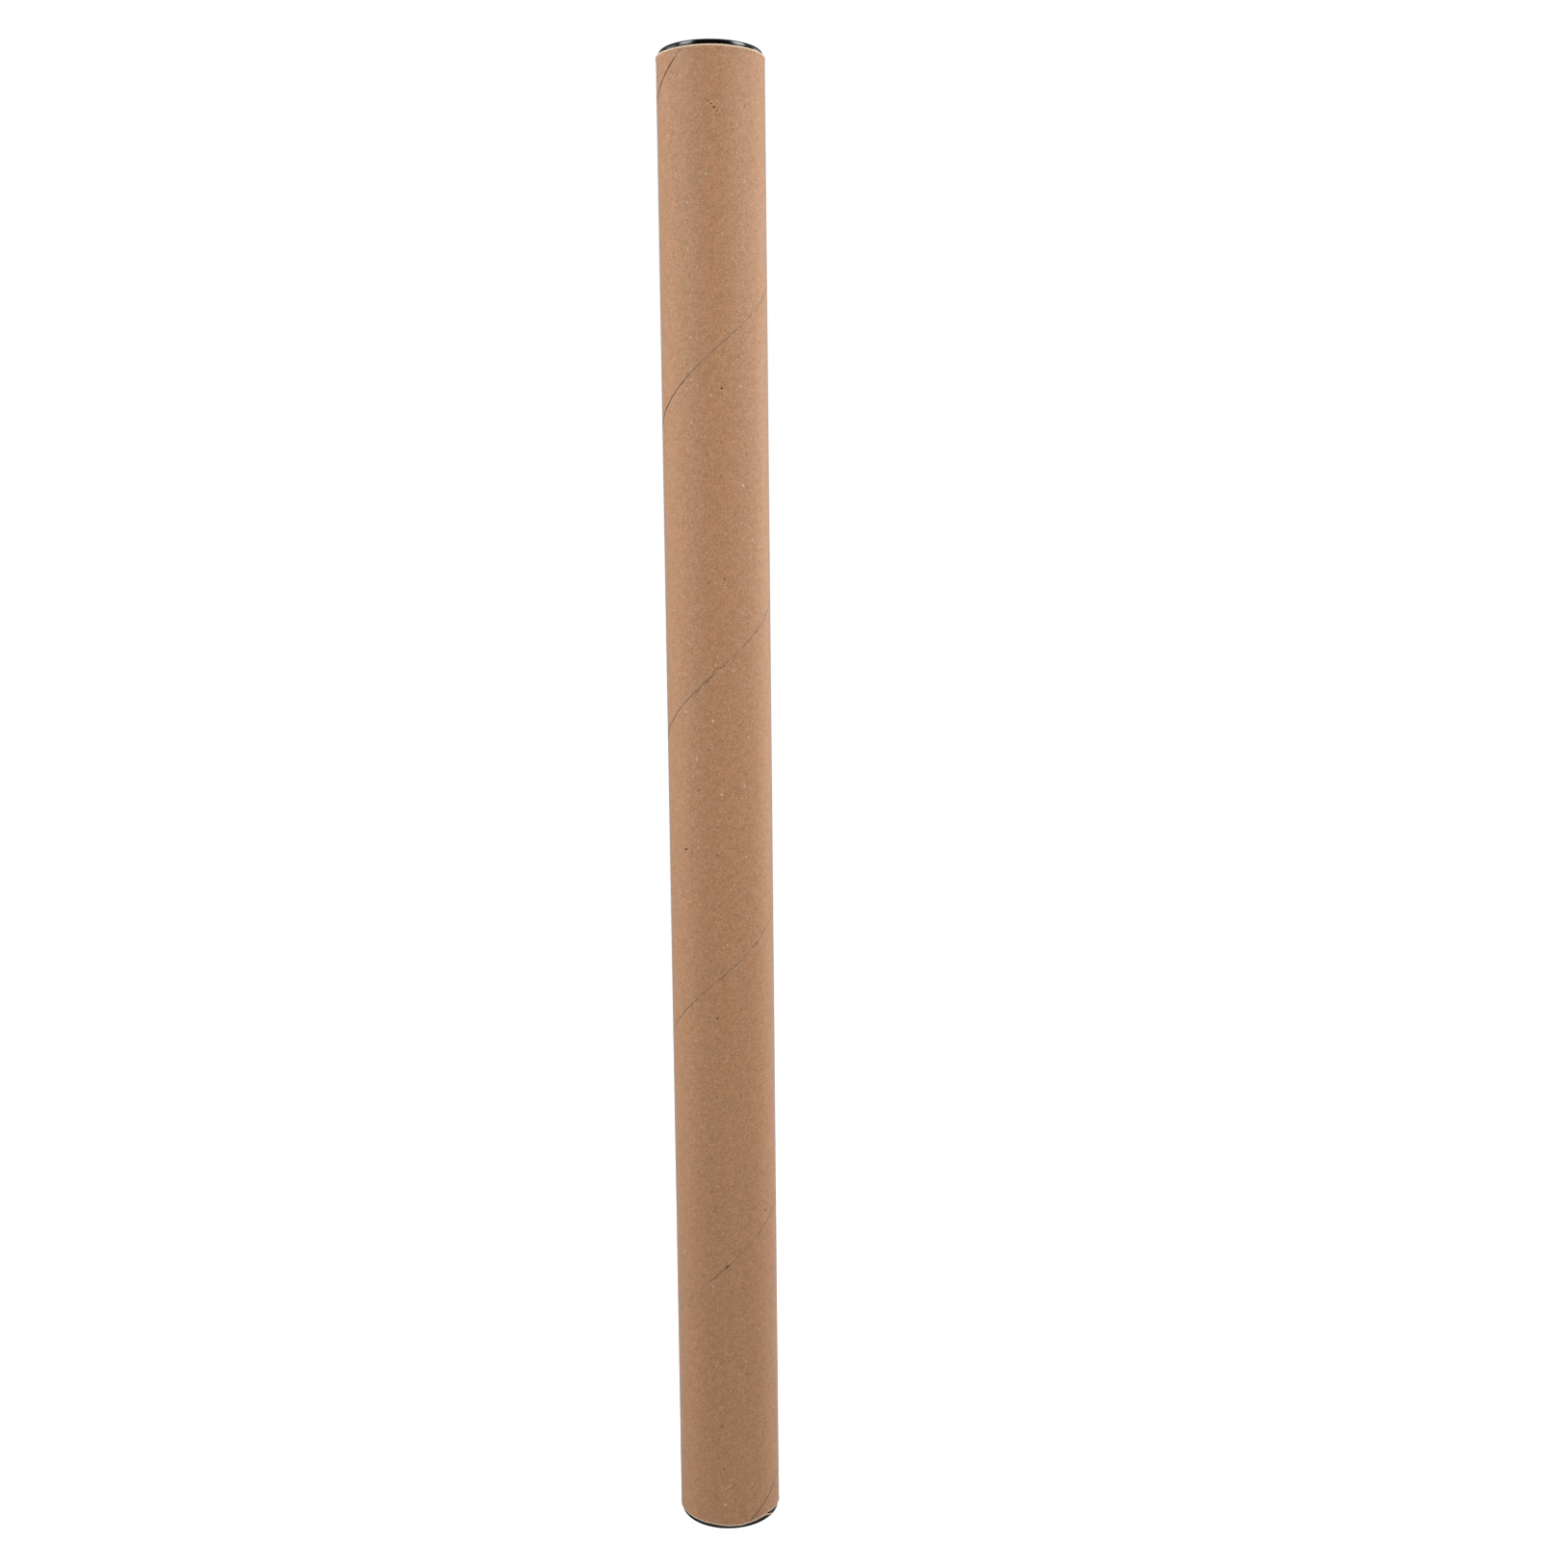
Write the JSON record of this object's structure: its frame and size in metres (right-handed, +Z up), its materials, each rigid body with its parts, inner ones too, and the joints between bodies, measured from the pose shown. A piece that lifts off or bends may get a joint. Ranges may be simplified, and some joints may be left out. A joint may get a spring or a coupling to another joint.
{
  "type": "cardboard mailing tube",
  "caption": "Long spirally wound paperboard tube for posting rolled papers, closed by a pull-out plastic plug in each end.",
  "frame": {"origin": "centre of the lower plug's rim, on the surface that the tube stands on", "axes": "+Z up along the tube's axis, -Y towards the front seen in the picture"},
  "size_m": [0.054, 0.054, 0.7668],
  "materials": {
    "kraft_board": "matte brown kraft paper, spirally wound",
    "black_plastic": "glossy moulded black"
  },
  "bodies": {
    "tube": {"tube": "kraft_board"},
    "top_cap": {"top_cap": "black_plastic"},
    "bottom_cap": {"bottom_cap": "black_plastic"}
  },
  "joints": [
    {"name": "top_cap_pull", "type": "slide", "parent": "tube", "child": "top_cap", "axis": [0, 0, 1], "range_m": [0, 0.044]},
    {"name": "bottom_cap_pull", "type": "slide", "parent": "tube", "child": "bottom_cap", "axis": [0, 0, -1], "range_m": [0, 0.044]}
  ]
}
